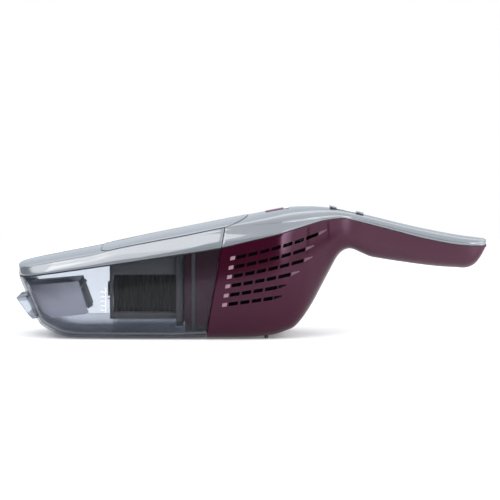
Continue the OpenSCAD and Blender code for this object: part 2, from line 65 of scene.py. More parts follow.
PARTING = [[-208, 54.2], [-194, 55.6], [-140, 63.4], [-64, 75], [-27, 81], [0, 87.2], [23, 92.4],
           [35, 95.8], [49, 99.8], [63, 103.3], [75, 104.8], [82, 105], [90, 103.4], [103, 100.2],
           [133, 92.4], [152, 87.4], [177, 82.4], [189, 80.8], [208, 79.8], [REAR_X, 79.6]]
CREASE = [[-208, 61], [-141, 73.4], [-115, 80], [-60, 90.2], [-24, 97.4], [13, 101.6], [43, 103.8],
          [65, 105.6], [82, 106.6], [103, 102], [133, 94.2], [177, 84.4], [REAR_X, 81.4]]
HALF_WIDTH = [[-208, 8], [-207.2, 17], [-205, 28], [-201, 38.4], [-196, 44.8], [-190, 48],
              [-180, 50.4], [-165, 52], [-140, 54], [-110, 56], [-70, 57.4], [-40, 58], [-10, 58],
              [10, 57], [25, 54.4], [36, 50.6], [48, 44], [60, 34.6], [70, 26.6], [80, 21],
              [90, 18.2], [105, 17.2], [130, 17.2], [160, 18], [190, 18.4], [201, 17],
              [207, 13.6], [REAR_X, 7]]
FLAT_SHARE = [[-208, 0.3], [-185, 0.6], [40, 0.6], [75, 0.4], [100, 0.12], [REAR_X, 0.12]]
CORNER_POWER = [[-208, 2.4], [-180, 3], [40, 3], [75, 2.8], [100, 2.2], [REAR_X, 2.2]]
CREASE_SHARE = [[-208, 0.9], [-141, 0.9], [-24, 0.85], [43, 0.87], [82, 0.9], [REAR_X, 0.88]]
SPLIT_X, SPLIT_SLOPE = -39.4, 0.171
CUP_GAP, PARTING_GAP = 0.6, 0.75
WALL = 2.2
PANEL_FRONT, PANEL_REAR, TONGUE_START, PANEL_THICKNESS = -132.0, -3.0, -26.0, 1.5
# The least height and half width of a cross-section. The room kept above and below the parting line is a
# share of the height, or of BAND_ROOM where the section is higher than that.
MIN_HEIGHT, MIN_HALF_WIDTH, BAND_ROOM = 2, 3, 8
# The side of the lower shell starts at this share of its height, and leans in by this share of its half width
SIDE_SHARE, LEAN_IN = 0.56, 0.03


def curve(knots, x):
    """Smooth curve through [x, value] knots, at one x or an array of them."""
    k = np.array(knots, float)
    kx, kv = k[:, 0], k[:, 1]
    n = len(k)
    before, after = np.maximum(np.arange(n) - 1, 0), np.minimum(np.arange(n) + 1, n - 1)
    slope = (kv[after] - kv[before]) / (kx[after] - kx[before])
    x = np.asarray(x, float)
    i = np.clip(np.searchsorted(kx, x, side="right") - 1, 0, n - 2)
    h = kx[i + 1] - kx[i]
    t = np.clip((x - kx[i]) / h, 0, 1)
    return ((2 * t**3 - 3 * t**2 + 1) * kv[i] + (t**3 - 2 * t**2 + t) * h * slope[i]
            + (3 * t**2 - 2 * t**3) * kv[i + 1] + (t**3 - t**2) * h * slope[i + 1])


def levels(x):
    """Heights and widths of the cross-section at x."""
    low, high = np.maximum(curve(UNDERSIDE, x), 0), curve(RIDGE, x)
    high = np.maximum(high, low + MIN_HEIGHT)
    wide = np.maximum(curve(HALF_WIDTH, x), MIN_HALF_WIDTH)
    room = np.minimum(high - low, BAND_ROOM)
    part = np.minimum(np.maximum(curve(PARTING, x), low + 0.4 * room), high - 0.3 * room)
    crease = np.minimum(np.maximum(curve(CREASE, x), part + 0.12 * room), high - 0.12 * room)
    return low, high, wide, part, crease


# Where the round corner of the lower shell starts and ends, and the flat band of the upper one ends, in v
CORNER_START, CORNER_END, BAND_END = 0.12, 0.62, 0.3


def lower_point(x, v):
    """(y, z) on the lower shell: v 0 is the middle of the underside, v 1 the parting line."""
    low, high, wide, part, crease = levels(x)
    middle = low + SIDE_SHARE * (part - low)
    flat = wide * curve(FLAT_SHARE, x)
    power = 2 / curve(CORNER_POWER, x)
    a = np.clip((v - CORNER_START) / (CORNER_END - CORNER_START), 0, 1) * math.pi / 2
    t = np.clip((v - CORNER_END) / (1 - CORNER_END), 0, 1)
    y = np.where(v < CORNER_START, flat * v / CORNER_START, flat + (wide - flat) * np.sin(a) ** power)
    z = middle - (middle - low) * np.clip(np.cos(a), 0, 1) ** power
    side = v > CORNER_END
    return np.where(side, wide * (1 - LEAN_IN * t**2), y), np.where(side, middle + (part - middle) * t, z)


def upper_point(x, v):
    """(y, z) on the upper shell: v 0 is the parting line, v 1 the ridge."""
    low, high, wide, part, crease = levels(x)
    lean, foot = wide * curve(CREASE_SHARE, x), (1 - LEAN_IN) * wide
    t = np.clip(v / BAND_END, 0, 1)
    a = np.clip((v - BAND_END) / (1 - BAND_END), 0, 1) * math.pi / 2
    band = v < BAND_END
    y = np.where(band, foot + (lean - foot) * t**1.3, lean * np.cos(a))
    z = np.where(band, part + PARTING_GAP + (crease - part - PARTING_GAP) * t,
                 crease + (high - crease) * np.sin(a))
    return y, z


SOLVE_STEPS = 8


def surface(point, s, v, slant):
    """Grid of points on the shell. slant(s) leans the stations over, so that some follow the split plane."""
    s, v = np.meshgrid(s, v, indexing="ij")
    x = s.copy()
    for _ in range(SOLVE_STEPS):
        y, z = point(x, v)
        x = np.clip(s + SPLIT_SLOPE * slant(s) * z, FRONT_X, REAR_X)
    y, z = point(x, v)
    return np.stack([x, y, z], axis=-1)


def normals(p):
    """Unit normals of a grid of points, turned away from the middle of the object."""
    n = np.cross(np.gradient(p, axis=0), np.gradient(p, axis=1))
    n /= np.maximum(np.linalg.norm(n, axis=-1, keepdims=True), 1e-9)
    middle = p.mean(axis=1, keepdims=True) * (1, 0, 1)
    return n * np.sign(np.sum(n * (p - middle)))


ROUNDING = np.radians([0, 30, 60, 90])


def soften_edge(base, inset, axis, last, radius):
    """Adds rows at one edge of a grid, which sink in step by step so that the edge is round."""
    base, inset = np.moveaxis(base, axis, 0), np.moveaxis(inset, axis, 0)
    if not last:
        base, inset = base[::-1], inset[::-1]
    along = base[-1] - base[-2]
    length = np.maximum(np.linalg.norm(along, axis=-1, keepdims=True), 1e-9)
    along, step = along / length, np.minimum(radius, 0.8 * length)
    rows = [base[-1] - along * step * (1 - math.sin(t)) for t in ROUNDING]
    sinks = [np.maximum(inset[-1], step[..., 0] * (1 - math.cos(t))) for t in ROUNDING]
    base = np.concatenate([base[:-1], rows])
    inset = np.concatenate([inset[:-1], sinks])
    if not last:
        base, inset = base[::-1], inset[::-1]
    return np.moveaxis(base, 0, axis), np.moveaxis(inset, 0, axis)


def placed(name, data):
    """New object with this data, in the scene."""
    obj = bpy.data.objects.new(name, data)
    bpy.context.scene.collection.objects.link(obj)
    return obj


def new_object(name, verts, faces):
    mesh = bpy.data.meshes.new(name)
    mesh.from_pydata([tuple(v) for v in verts], [], faces)
    mesh.validate()
    obj = placed(name, mesh)
    finish_mesh(obj)
    return obj


def discard(*objs):
    for o in objs:
        bpy.data.objects.remove(o, do_unlink=True)


def finish_mesh(obj, smooth=38):
    """Merges doubles, points the normals out and shades smooth between faces that meet at a small angle."""
    bm = bmesh.new()
    bm.from_mesh(obj.data)
    bmesh.ops.remove_doubles(bm, verts=bm.verts, dist=1e-6)
    bmesh.ops.dissolve_degenerate(bm, edges=bm.edges, dist=1e-7)
    bmesh.ops.recalc_face_normals(bm, faces=bm.faces)
    bm.to_mesh(obj.data)
    bm.free()
    obj.data.shade_smooth()
    obj.data.set_sharp_from_angle(angle=math.radians(smooth))


def two_skins(rows, cols):
    """Faces of two grids of points of the same size, the second one facing back."""
    half = rows * cols
    faces = []
    for i in range(rows - 1):
        for j in range(cols - 1):
            a, b = i * cols + j, (i + 1) * cols + j
            faces += [(a, b, b + 1, a + 1), (half + a + 1, half + b + 1, half + b, half + a)]
    return faces


def rim(line, half):
    """Faces between a line of points on the first grid and the same line on the second one."""
    return [(a, b, half + b, half + a) for a, b in zip(line, line[1:])]


def shell(name, base, wall, soft=(), radius=0.5, caps=(), sink=None):
    """Closed shell from a grid of outer points (mm): an outer skin, an inner skin and the rims between them.
    soft lists (axis, last) edges to round, caps the row ends (0 or -1) closed by a face, and sink(x, y) says
    how far the skin lies below its outline."""
    inset = np.zeros(base.shape[:2])
    for axis, last in soft:
        base, inset = soften_edge(base, inset, axis, last, radius)
    n = normals(base)
    outer, inner = base - n * inset[..., None], base - n * wall
    for skin in (outer, inner):
        if sink is not None:
            skin[..., 2] -= sink(skin[..., 0], skin[..., 1])
        skin[..., 0] = np.clip(skin[..., 0], FRONT_X, REAR_X)
    rows, cols = base.shape[:2]
    half = rows * cols
    faces = two_skins(rows, cols)
    for j in (0, cols - 1):
        faces += rim(range(j, half, cols), half)
    for i, end in ((0, 0), (rows - 1, -1)):
        row = range(i * cols, (i + 1) * cols)
        if end in caps:
            faces += [tuple(row), tuple(half + k for k in row),
                      (row[0], row[-1], half + row[-1], half + row[0])]
        else:
            faces += rim(row, half)
    verts = np.concatenate([outer.reshape(-1, 3), inner.reshape(-1, 3)]) * MM
    return new_object(name, verts, faces)


def slab(name, top, bottom):
    """Closed solid between two grids of the same size."""
    rows, cols = top.shape[:2]
    half = rows * cols
    last_row = half - cols
    ring = [*range(cols), *range(2 * cols - 1, half, cols),
            *range(half - 2, last_row - 1, -1), *range(last_row - cols, -1, -cols)]
    verts = np.concatenate([top.reshape(-1, 3), bottom.reshape(-1, 3)]) * MM
    return new_object(name, verts, two_skins(rows, cols) + rim(ring, half))


def mirrored(grid):
    """The same surface on the other side of the object, with its columns in reverse."""
    return grid[:, ::-1] * (1, -1, 1)


def whole(grid):
    """Both sides of a grid whose columns run from the middle of the object outwards."""
    return np.concatenate([mirrored(grid)[:, :-1], grid], axis=1)


def spaced(*stops):
    """Values from stop to stop, each stretch with its own count."""
    out = [np.array([stops[0]], float)]
    for count, stop in zip(stops[1::2], stops[2::2]):
        out.append(np.linspace(out[-1][-1], stop, count + 1)[1:])
    return np.concatenate(out)


# ---------------------------------------------------------------- materials
# Where most values of a noise texture lie, and the height of its bumps in metres
NOISE_SPAN, BUMP_DISTANCE, MIN_ROUGH = (0.3, 0.7), 0.0004, 0.02
# Pointiness where wear begins and where it is full, and how much lighter the worn colour is
WEAR_SPAN, WEAR_GAIN, WEAR_LIFT = (0.53, 0.62), 1.5, 0.05
# Clear plastic: the noise behind its scuffs, their roughness, its refraction and its share of mirror
CLOUD_SCALE, CLOUD_SPAN, SCUFF_ROUGH = 30, (0.35, 0.75), (0.04, 0.09)
FILM_IOR, FILM_MIRROR = 1.3, 0.45


def set_inputs(tree, node, inputs):
    """Gives each input a value, or links it to the output socket that feeds it."""
    for name, value in inputs.items():
        if isinstance(value, bpy.types.NodeSocket):
            tree.links.new(value, node.inputs[name])
        else:
            node.inputs[name].default_value = value


def add_node(tree, kind, inputs, **settings):
    node = tree.nodes.new("ShaderNode" + kind)
    for name, value in settings.items():
        setattr(node, name, value)
    set_inputs(tree, node, inputs)
    return node


def calculate(tree, operation, *values):
    return add_node(tree, "Math", dict(enumerate(values)), operation=operation).outputs["Value"]


def map_range(tree, value, source, target=(0, 1), **settings):
    """Output that runs over the target range as value runs over the source range."""
    ends = {"From Min": source[0], "From Max": source[1], "To Min": target[0], "To Max": target[1]}
    return add_node(tree, "MapRange", {"Value": value, **ends}, **settings).outputs["Result"]


def noise(tree, where, scale, detail):
    return add_node(tree, "TexNoise", {"Vector": where, "Scale": scale, "Detail": detail}).outputs["Fac"]


def mix_colours(tree, share, first, second):
    mix = add_node(tree, "Mix", {"Factor": share, "A": first, "B": second}, data_type="RGBA")
    return mix.outputs["Result"]


def mix_shaders(tree, share, first, second):
    return add_node(tree, "MixShader", {"Fac": share, 1: first, 2: second}).outputs["Shader"]


def object_space(tree):
    return add_node(tree, "TexCoord", {}).outputs["Object"]


def toned(colour, factor, lift=0.0):
    """The colour made lighter or darker, with its alpha."""
    return (*[min(1, c * factor + lift) for c in colour], 1)


def new_material(name):
    m = bpy.data.materials.new(name)
    m.use_nodes = True
    return m


def worn_edges(tree, colour, base, wear):
    """Lets a lighter colour show along sharp edges."""
    pointiness = add_node(tree, "NewGeometry", {}).outputs["Pointiness"]
    share = calculate(tree, "MULTIPLY", map_range(tree, pointiness, WEAR_SPAN), wear)
    return mix_colours(tree, share, base, toned(colour, WEAR_GAIN, WEAR_LIFT))


def painted_sheen_zone(tree, where, sheen_zone, base, gloss):
    """A satin finish that fades in along x, with a paler colour that is painted sheen. The last argument says
    where it begins and ends, in metres, the painted sheen colour and how much rougher it is."""
    begin, end, colour, rougher = sheen_zone
    x = add_node(tree, "SeparateXYZ", {"Vector": where}).outputs["X"]
    fade = map_range(tree, x, (begin, end), interpolation_type="SMOOTHSTEP")
    return mix_colours(tree, fade, base, (*colour, 1)), calculate(tree, "MULTIPLY_ADD", fade, rougher, gloss)


def build_material(name, colour, rough=0.4, metallic=0.0, coat=0.0, grain=900.0, bump=0.02,
                   mottle=0.06, mottle_scale=18.0, rough_spread=0.08, wear=0.0, stretch=(1, 1, 1),
                   specular=0.5, specular_tint=(1, 1, 1), coat_rough=0.08, coat_ior=1.5, sheen_zone=None):
    """Principled material whose colour, roughness and bump vary with noise in object space."""
    m = new_material(name)
    tree = m.node_tree
    where = object_space(tree)
    place = add_node(tree, "Mapping", {"Vector": where, "Scale": stretch}).outputs["Vector"]
    broad, fine = noise(tree, place, mottle_scale, 3), noise(tree, place, grain, 2)
    base = mix_colours(tree, map_range(tree, broad, NOISE_SPAN), toned(colour, 1 - mottle),
                       toned(colour, 1 + mottle))
    if wear:
        base = worn_edges(tree, colour, base, wear)
    gloss = map_range(tree, fine, NOISE_SPAN, (max(rough - rough_spread, MIN_ROUGH), rough + rough_spread))
    if sheen_zone:
        base, gloss = painted_sheen_zone(tree, where, sheen_zone, base, gloss)
    lift = add_node(tree, "Bump", {"Strength": bump, "Distance": BUMP_DISTANCE, "Height": fine})
    set_inputs(tree, tree.nodes["Principled BSDF"], {
        "Base Color": base, "Metallic": metallic, "Roughness": gloss, "Normal": lift.outputs["Normal"],
        "Specular IOR Level": specular, "Specular Tint": (*specular_tint, 1),
        "Coat Weight": coat, "Coat Roughness": coat_rough, "Coat IOR": coat_ior})
    return m


def clear_material(name, tint, edge_tint, haze, haze_colour=(0.5, 0.52, 0.56), edge=(0.03, 0.35)):
    """Clear plastic seen as a thin film. It lets tinted light through, less where the wall turns away, and
    mirrors more at a glancing angle. haze is the share of milky scatter."""
    m = new_material(name)
    tree = m.node_tree
    tree.nodes.clear()
    facing = add_node(tree, "LayerWeight", {"Blend": 0.5}).outputs["Facing"]
    film = mix_colours(tree, map_range(tree, facing, edge), (*tint, 1), (*edge_tint, 1))
    through = add_node(tree, "BsdfTransparent", {"Color": film}).outputs["BSDF"]
    milk = add_node(tree, "BsdfDiffuse", {"Color": (*haze_colour, 1)}).outputs["BSDF"]
    cloud = noise(tree, object_space(tree), CLOUD_SCALE, 4)
    scuffs = map_range(tree, cloud, CLOUD_SPAN, SCUFF_ROUGH)
    gloss = add_node(tree, "BsdfGlossy", {"Roughness": scuffs}).outputs["BSDF"]
    fresnel = add_node(tree, "Fresnel", {"IOR": FILM_IOR}).outputs["Fac"]
    mirror = calculate(tree, "MULTIPLY", fresnel, FILM_MIRROR)
    body = mix_shaders(tree, haze, through, milk)
    add_node(tree, "OutputMaterial", {"Surface": mix_shaders(tree, mirror, body, gloss)})
    return m


MATERIALS = {
    "housing": build_material("burgundy_gloss", (0.026, 0.0022, 0.0085), rough=0.13, grain=1400, bump=0.02,
                              mottle=0.08, rough_spread=0.03, wear=0.12, specular=0.32,
                              specular_tint=(1.0, 0.62, 0.90),
                              # The handle's paler colour is painted sheen, over a rougher satin finish.
                              sheen_zone=(0.070, 0.105, (0.052, 0.020, 0.030), 0.30)),
    # Pale and mid burgundy of the vent row ends: painted highlight.
    "vent_start": build_material("burgundy_painted_highlight", (0.27, 0.17, 0.215), rough=0.4, grain=1400, bump=0.03,
                                 specular=0.2),
    "vent_tail": build_material("burgundy_painted_soft_highlight", (0.11, 0.06, 0.085), rough=0.4, grain=1400, bump=0.03,
                                specular=0.2),
    "button": build_material("button_burgundy", (0.16, 0.03, 0.075), rough=0.25, grain=1400, bump=0.03),
    "silver_trim": build_material("silver_satin", (0.175, 0.195, 0.225), rough=0.4, metallic=0.25, coat=1.0,
                                  coat_rough=0.03, coat_ior=1.8, grain=2600, bump=0.02, mottle=0.04,
                                  rough_spread=0.05, wear=0.1),
    "smoky_clear": clear_material("smoky_clear", (0.86, 0.875, 0.90), (0.74, 0.75, 0.78), haze=0.01),
    "cup_floor": clear_material("smoky_base", (0.86, 0.87, 0.89), (0.72, 0.73, 0.76), haze=0.06,
                                haze_colour=(0.2, 0.21, 0.23)),
    "duct_clear": clear_material("duct_smoke", (0.62, 0.61, 0.66), (0.4, 0.4, 0.43), haze=0.75,
                                 haze_colour=(0.72, 0.71, 0.79)),
    "clear": clear_material("clear_plastic", (0.86, 0.89, 0.93), (0.35, 0.37, 0.42), haze=0.35,
                            haze_colour=(0.66, 0.72, 0.80), edge=(0.25, 0.8)),
    # Darker film on the nozzle's rounded edges: painted shading of the dark outline a clear part shows at its
    # edges.
    "clear_edge": clear_material("clear_plastic_painted_edge_shade", (0.62, 0.66, 0.72), (0.30, 0.32, 0.37), haze=0.45,
                                 haze_colour=(0.20, 0.22, 0.26)),
    "dark_plastic": build_material("dark_plastic", (0.018, 0.018, 0.020), rough=0.5, grain=1600, bump=0.12),
    "grey_plastic": build_material("grey_plastic", (0.075, 0.075, 0.08), rough=0.48, grain=1500, bump=0.12),
    "flap": build_material("flap_grey", (0.25, 0.26, 0.29), rough=0.45, grain=1200, bump=0.1),
    "rubber": build_material("rubber", (0.05, 0.052, 0.056), rough=0.62, grain=1200, bump=0.15, mottle=0.12),
    "steel": build_material("turned_steel", (0.55, 0.56, 0.58), rough=0.28, metallic=1.0, grain=700,
                            bump=0.06, stretch=(1, 12, 12)),
    "copper": build_material("winding", (0.50, 0.20, 0.09), rough=0.35, metallic=0.9, grain=1800, bump=0.3,
                             stretch=(12, 1, 1)),
    "contact": build_material("gold_contact", (0.62, 0.44, 0.16), rough=0.25, metallic=1.0, grain=900,
                              bump=0.04),
    "board": build_material("solder_mask", (0.012, 0.14, 0.06), rough=0.35, coat=0.3, grain=500, bump=0.08,
                            mottle=0.2, mottle_scale=220),
    "wrap": build_material("cell_wrap", (0.03, 0.09, 0.30), rough=0.32, coat=0.2, grain=600, bump=0.05),
    "wire": build_material("wire_red", (0.42, 0.02, 0.015), rough=0.42, grain=800, bump=0.06),
    "pleat": build_material("filter_paper", (0.014, 0.014, 0.015), rough=0.9, grain=1500, bump=0.12,
                            mottle=0.2, mottle_scale=90, specular=0.2),
    # Black foam behind the vents, with the shade of the deep slots painted into its very dark colour; it also
    # gives the painted shade on the low vent tails.
    "foam": build_material("exhaust_foam", (0.004, 0.003, 0.0035), rough=0.95, grain=900, bump=0.4,
                           mottle=0.3, mottle_scale=300, specular=0.02),
    # Frosted white of the indicator light, also used as painted highlight on the slider and the button.
    "white": build_material("frosted_white_and_highlight", (0.78, 0.80, 0.82), rough=0.45, grain=1500, bump=0.05),
}


def dress(obj, key, body):
    """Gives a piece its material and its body."""
    obj.data.materials.clear()
    obj.data.materials.append(MATERIALS[key])
    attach(obj, body)


def apply_modifiers(obj):
    depsgraph = bpy.context.evaluated_depsgraph_get()
    mesh = bpy.data.meshes.new_from_object(obj.evaluated_get(depsgraph))
    obj.modifiers.clear()
    obj.data = mesh


def cut(obj, cutters):
    """Takes the shapes of the cutters away from obj."""
    for cutter in cutters:
        m = obj.modifiers.new("cut", "BOOLEAN")
        m.operation, m.solver, m.object = "DIFFERENCE", "MANIFOLD", cutter
    bpy.context.view_layer.update()
    apply_modifiers(obj)
    finish_mesh(obj)


def prism(name, points, low, high):
    """Side outline of (x, z) points, run across from y = low to y = high, in mm."""
    n = len(points)
    verts = [(x * MM, y * MM, z * MM) for y in (low, high) for x, z in points]
    faces = [tuple(range(n)), tuple(range(2 * n - 1, n - 1, -1))]
    faces += [(i, (i + 1) % n, n + (i + 1) % n, n + i) for i in range(n)]
    return new_object(name, verts, faces)


def block(name, low, high):
    (x0, y0, z0), (x1, y1, z1) = low, high
    return prism(name, [(x0, z0), (x1, z0), (x1, z1), (x0, z1)], y0, y1)


def bevel(obj, width, segments=2, angle=50, edge_slot=-1):
    """Rounds the sharp edges. edge_slot is the material slot of the new faces, -1 for the one beside them."""
    m = obj.modifiers.new("bevel", "BEVEL")
    m.material = edge_slot
    m.width, m.segments, m.limit_method = width * MM, segments, "ANGLE"
    m.angle_limit = math.radians(angle)
    bpy.context.view_layer.update()
    apply_modifiers(obj)
    finish_mesh(obj, 45)


def join(name, objs):
    """One object from several."""
    bm = bmesh.new()
    for o in objs:
        other = o.data.copy()
        other.transform(o.matrix_world)
        bm.from_mesh(other)
        bpy.data.meshes.remove(other)
    mesh = bpy.data.meshes.new(name)
    bm.to_mesh(mesh)
    bm.free()
    discard(*objs)
    obj = placed(name, mesh)
    finish_mesh(obj)
    return obj


# ---------------------------------------------------------------- raised top panel
# Room between the panel and the crease, its corner radius, how far its top stands over the covers, and how
# much higher its underside lies than its thickness says
PANEL_MARGIN, PANEL_CORNER, PANEL_PROUD, UNDERSIDE_LIFT = 1.2, 9.0, 0.4, 0.3
# The covers step down under the panel: how far inside its outline, and how far below its thickness
STEP_INSET, STEP_GAP = 2.5, 0.4
# The dark line round its foot, painted shadow where the panel meets the covers: how far out and how high it
# lies, and its radius
RIM_OUT, RIM_LIFT, RIM_RADIUS = 0.3, 0.02, 0.32


def crown_z(x, y):
    """Height of the covers at x and y."""
    low, high, wide, part, crease = levels(x)
    lean = wide * curve(CREASE_SHARE, x)
    return crease + (high - crease) * np.sqrt(np.clip(1 - (y / lean) ** 2, 0, 1))


def panel_half(x):
    return curve(HALF_WIDTH, x) * curve(CREASE_SHARE, x) - PANEL_MARGIN


def panel_edge(x, grow):
    """Half width of the panel at x, in plan, with its outline moved out by grow."""
    side = panel_half(np.minimum(x, TONGUE_START)) + grow
    front = np.clip((x - (PANEL_FRONT - grow)) / PANEL_CORNER, 0, 1)
    corner = side - PANEL_CORNER * (1 - np.sqrt(np.clip(1 - (1 - front) ** 2, 0, 1)))
    t = np.clip((x - TONGUE_START) / (PANEL_REAR + grow - TONGUE_START), 0, 1)
    tongue = (panel_half(TONGUE_START) + grow) * np.sqrt(np.clip(1 - t**2, 0, 1))
    return np.where(x > TONGUE_START, tongue, corner)


def panel_stations(grow, count):
    """Values of x along the panel, close together at its ends."""
    t = np.linspace(0, math.pi, count)
    return PANEL_FRONT - grow + (PANEL_REAR - PANEL_FRONT + 2 * grow) * (0.5 - 0.5 * np.cos(t))


def panel_grid(lift, stations=70, columns=33):
    x = panel_stations(0, stations)
    half = np.maximum(panel_edge(x, 0), 0.3)
    y = half[:, None] * np.linspace(-1, 1, columns)[None, :]
    xx = np.repeat(x[:, None], columns, axis=1)
    return np.stack([xx, y, crown_z(xx, y) + lift], axis=-1)


def under_panel(x, y):
    """How far the covers lie under the panel: they step down a little inside its outline."""
    inside = ((np.abs(y) < panel_edge(x, -STEP_INSET))
              & (x > PANEL_FRONT + STEP_INSET) & (x < PANEL_REAR - STEP_INSET))
    return np.where(inside, PANEL_THICKNESS + STEP_GAP, 0)


def panel_rim(stations=90):
    """Closed line round the foot of the panel, in mm, for the dark tube that is painted shadow there."""
    x = panel_stations(RIM_OUT, stations)
    y = np.maximum(panel_edge(x, RIM_OUT), 0.0)
    across = np.linspace(y[0], -y[0], 14)[1:-1]
    x = np.concatenate([x, x[-2::-1], np.full(len(across), x[0])])
    y = np.concatenate([-y, y[-2::-1], across])
    return list(zip(x, y, crown_z(x, y) + RIM_LIFT))


# ---------------------------------------------------------------- shells
# The lean of the split plane fades out over these lengths
CUP_FADE, BODY_FADE = 120, 70


def cup_slant(s):
    return np.clip(1 - (SPLIT_X - s) / CUP_FADE, 0, 1)


def body_slant(s):
    return np.clip(1 - (s - SPLIT_X) / BODY_FADE, 0, 1)


# Stations close together at the front, at the crook and at the end of the handle.
CUP_STATIONS = np.concatenate([FRONT_X + 40 * np.linspace(0, 1, 40) ** 2.0,
                               np.linspace(-168, SPLIT_X - CUP_GAP, 54)[1:]])
BODY_STATIONS = np.concatenate([np.linspace(SPLIT_X, 10, 20), np.linspace(10, 110, 72)[1:],
                                np.linspace(110, 182, 24)[1:],
                                REAR_X - 29.4 * np.linspace(1, 0, 36)[1:] ** 1.9])
LOWER_V = spaced(0, 3, CORNER_START, 20, CORNER_END, 14, 1)
UPPER_V = spaced(0, 8, BAND_END, 26, 1)

cup = surface(lower_point, CUP_STATIONS, LOWER_V, cup_slant)
cover = surface(upper_point, CUP_STATIONS, UPPER_V, cup_slant)
body_low = surface(lower_point, BODY_STATIONS, LOWER_V, body_slant)
body_top = surface(upper_point, BODY_STATIONS, UPPER_V, body_slant)

# Edges to round and ends to close: the sides and the end at the split plane are rounded
CUP_ENDS = {"soft": [(1, True), (1, False), (0, True)], "caps": (0,)}
BODY_ENDS = {"soft": [(1, True), (1, False), (0, False)], "caps": (-1,)}

cup_shell = shell("dust_cup", whole(cup), WALL, radius=0.6, **CUP_ENDS)
cover_shell = shell("cup_top_cover", whole(cover[:, ::-1]), WALL, radius=0.6, sink=under_panel, **CUP_ENDS)
housing_right = shell("housing_right_shell", body_low, WALL, radius=0.35, **BODY_ENDS)
housing_left = shell("housing_left_shell", mirrored(body_low), WALL, radius=0.35, **BODY_ENDS)
top_shell = shell("housing_top_cover", whole(body_top[:, ::-1]), WALL, radius=0.5, sink=under_panel,
                  **BODY_ENDS)
panel = slab("raised_panel", panel_grid(PANEL_PROUD), panel_grid(-PANEL_THICKNESS + UNDERSIDE_LIFT))
bevel(panel, 0.45, segments=3)

# ---------------------------------------------------------------- vents
SLOT_COUNTS, SLOT_PITCH, SLOT_LENGTH, SLOT_HEIGHT = [7, 6, 6, 5, 4, 4], 10.2, 8.3, 3.3
SLOT_CORNER, LAST_SLOT = 0.6, 1.3
# Blind ends: how far ahead of a row its start lies, the gap before its tail, their lengths, the share of
# height left at the tip of the tail, how far they stand out of the housing, and their thickness
START_AHEAD, START_LENGTH = 5.6, 4.2
TAIL_GAP, TAIL_LENGTH, TAIL_TIP = 0.7, 7.5, 0.35
BLIND_PROUD, BLIND_THICKNESS = 0.06, 0.9


def row_x(row):
    """Where a row of slots starts."""
    return -12.67 - 1.43 * row


def row_z(row, x):
    """Height of the lower edge of a row at x; the rows bow a little."""
    d = x - row_x(row)
    return 71.4 - 8.25 * row + (0.2 - 0.014 * row) * d + 0.0009 * (1 - row / 6) * d * d


def last_length(row):
    """Length of the last slot of a row: longer than the others, apart from the lowest row."""
    return SLOT_LENGTH * (LAST_SLOT if row < len(SLOT_COUNTS) - 1 else 1)


def slot_outline(x, row, length):
    """Leaning slot with small round corners."""
    z, end = row_z(row, x), row_z(row, x + length)
    lean = SLOT_HEIGHT * SPLIT_SLOPE
    corners = [(x, z), (x + length, end), (x + length + lean, end + SLOT_HEIGHT), (x + lean, z + SLOT_HEIGHT)]
    out = []
    for i, c in enumerate(corners):
        c, before, after = Vector(c), Vector(corners[i - 1]), Vector(corners[(i + 1) % 4])
        a, b = (before - c).normalized() * SLOT_CORNER, (after - c).normalized() * SLOT_CORNER
        out += [tuple(c + a), tuple(c + (a + b) * 0.3), tuple(c + b)]
    return out


slots = []
for row, count in enumerate(SLOT_COUNTS):
    for i in range(count):
        length = last_length(row) if i == count - 1 else SLOT_LENGTH
        slots.append(prism("slot", slot_outline(row_x(row) + SLOT_PITCH * i, row, length), -150, 150))
slot_cutter = join("slot_cutter", slots)
for half in (housing_left, housing_right):
    cut(half, [slot_cutter])
discard(slot_cutter)


# ---------------------------------------------------------------- blind ends of the vent rows, thin pieces that carry painted highlight
def side_y(x, z):
    """Half width of the lower shell at x and z."""
    v = np.linspace(CORNER_START, 1, 90)
    y, height = lower_point(x, v)
    return np.interp(z, height, y)


def blind(name, x, row, length, tip, side):
    """Shallow filled slot that ends a vent row, tapering to a share tip of its height. Its pale colour is
    painted highlight; on the low tails it takes painted shade instead.
    """
    along, across = np.linspace(0, 1, 14), np.linspace(0, 1, 6)
    grid = np.zeros((len(along), len(across), 3))
    for i, a in enumerate(along):
        height = SLOT_HEIGHT * (1 + (tip - 1) * a)
        for j, b in enumerate(across):
            px = x + length * a + SPLIT_SLOPE * height * b
            pz = row_z(row, x + length * a) + (SLOT_HEIGHT - height) * 0.8 + height * b
            grid[i, j] = (px, side * (side_y(px, pz) + BLIND_PROUD), pz)
    back = grid.copy()
    back[..., 1] -= side * BLIND_THICKNESS
    return slab(name, grid, back)


starts, tails = [], []
for row, count in enumerate(SLOT_COUNTS):
    end = row_x(row) + SLOT_PITCH * (count - 1) + last_length(row)
    for side in (-1, 1):
        starts.append(blind("blind", row_x(row) - START_AHEAD, row, START_LENGTH, 1.0, side))
        tails.append(blind("blind", end + TAIL_GAP, row, TAIL_LENGTH, TAIL_TIP, side))
# Thin pieces whose pale colour is painted highlight; the low tails also take painted shade.
vent_start_highlights = join("vent_row_start_highlights", starts)
vent_tail_highlights_and_shade = join("vent_row_tail_highlights_and_shade", tails)
for blinds in (vent_start_highlights, vent_tail_highlights_and_shade):
    bevel(blinds, 0.15)


# ---------------------------------------------------------------- holes in the top cover
SWITCH_X, SWITCH_SLOPE = 86.0, math.radians(13.2)
# Low and high corner of each hole; the switch's hole is given from its middle and lies along the slope
BUTTON_HOLE = (13.1, -9.4, 90), (34.4, 9.4, 130)
LAMP_HOLE = (48.6, -2.4, 100), (55.4, 2.4, 130)
SWITCH_HOLE = (-15.2, -8.2, -8), (15.2, 8.2, 20)


def crown(x):
    """Height of the ridge at x."""
    return float(curve(RIDGE, x))


